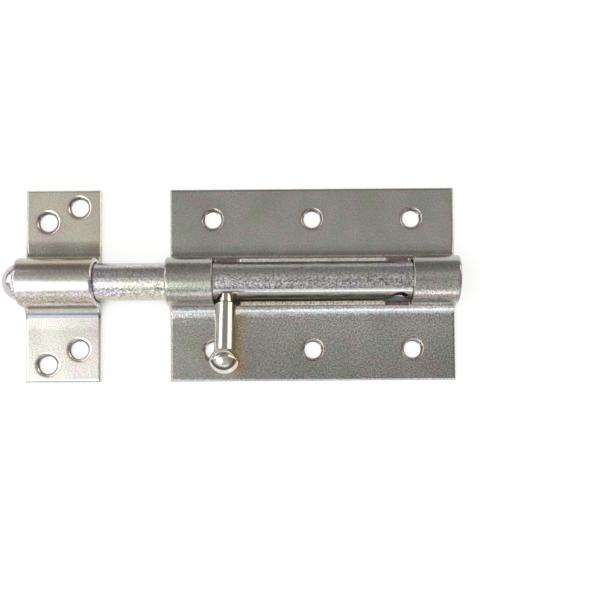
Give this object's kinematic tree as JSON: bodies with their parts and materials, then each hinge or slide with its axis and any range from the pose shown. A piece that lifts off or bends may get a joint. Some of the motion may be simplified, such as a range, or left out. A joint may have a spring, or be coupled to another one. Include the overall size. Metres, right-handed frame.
{
  "type": "door bolt",
  "caption": "Surface-mounted sliding door bolt: folded mounting plate with two loops, round bar with a padlock hole, side handle with a knob, and a folded keeper.",
  "frame": {"origin": "middle of the mounting plate's outer four screw holes, on the plane of its back face", "axes": "+Z out of the door, away from the back face; +X along the bar, from the keeper to the mounting plate; +Y away from the side the handle lies on"},
  "size_m": [0.1959, 0.085, 0.0251],
  "materials": {
    "zinc_sheet": "zinc-plated steel sheet with faint yellow, pink and green tints",
    "zinc_keeper": "zinc-plated steel sheet, brighter, with faint tints",
    "zinc_bar": "zinc-plated round steel bar with a rough, speckled surface",
    "zinc_handle": "turned and polished steel, zinc plated, with a faint yellow tint"
  },
  "bodies": {
    "mounting": {"mounting_plate": "zinc_sheet", "keeper": "zinc_keeper"},
    "bar": {"bolt_bar": "zinc_bar"},
    "handle": {"handle": "zinc_handle"}
  },
  "joints": [
    {"name": "bolt_slide", "type": "slide", "parent": "mounting", "child": "bar", "axis": [1, 0, 0], "range_m": [0, 0.0745]},
    {"name": "handle_turn", "type": "hinge", "parent": "bar", "child": "handle", "pos_m": [-0.03725, 0, 0.00925], "axis": [-1, 0, 0], "range_deg": [-15, 165]}
  ]
}
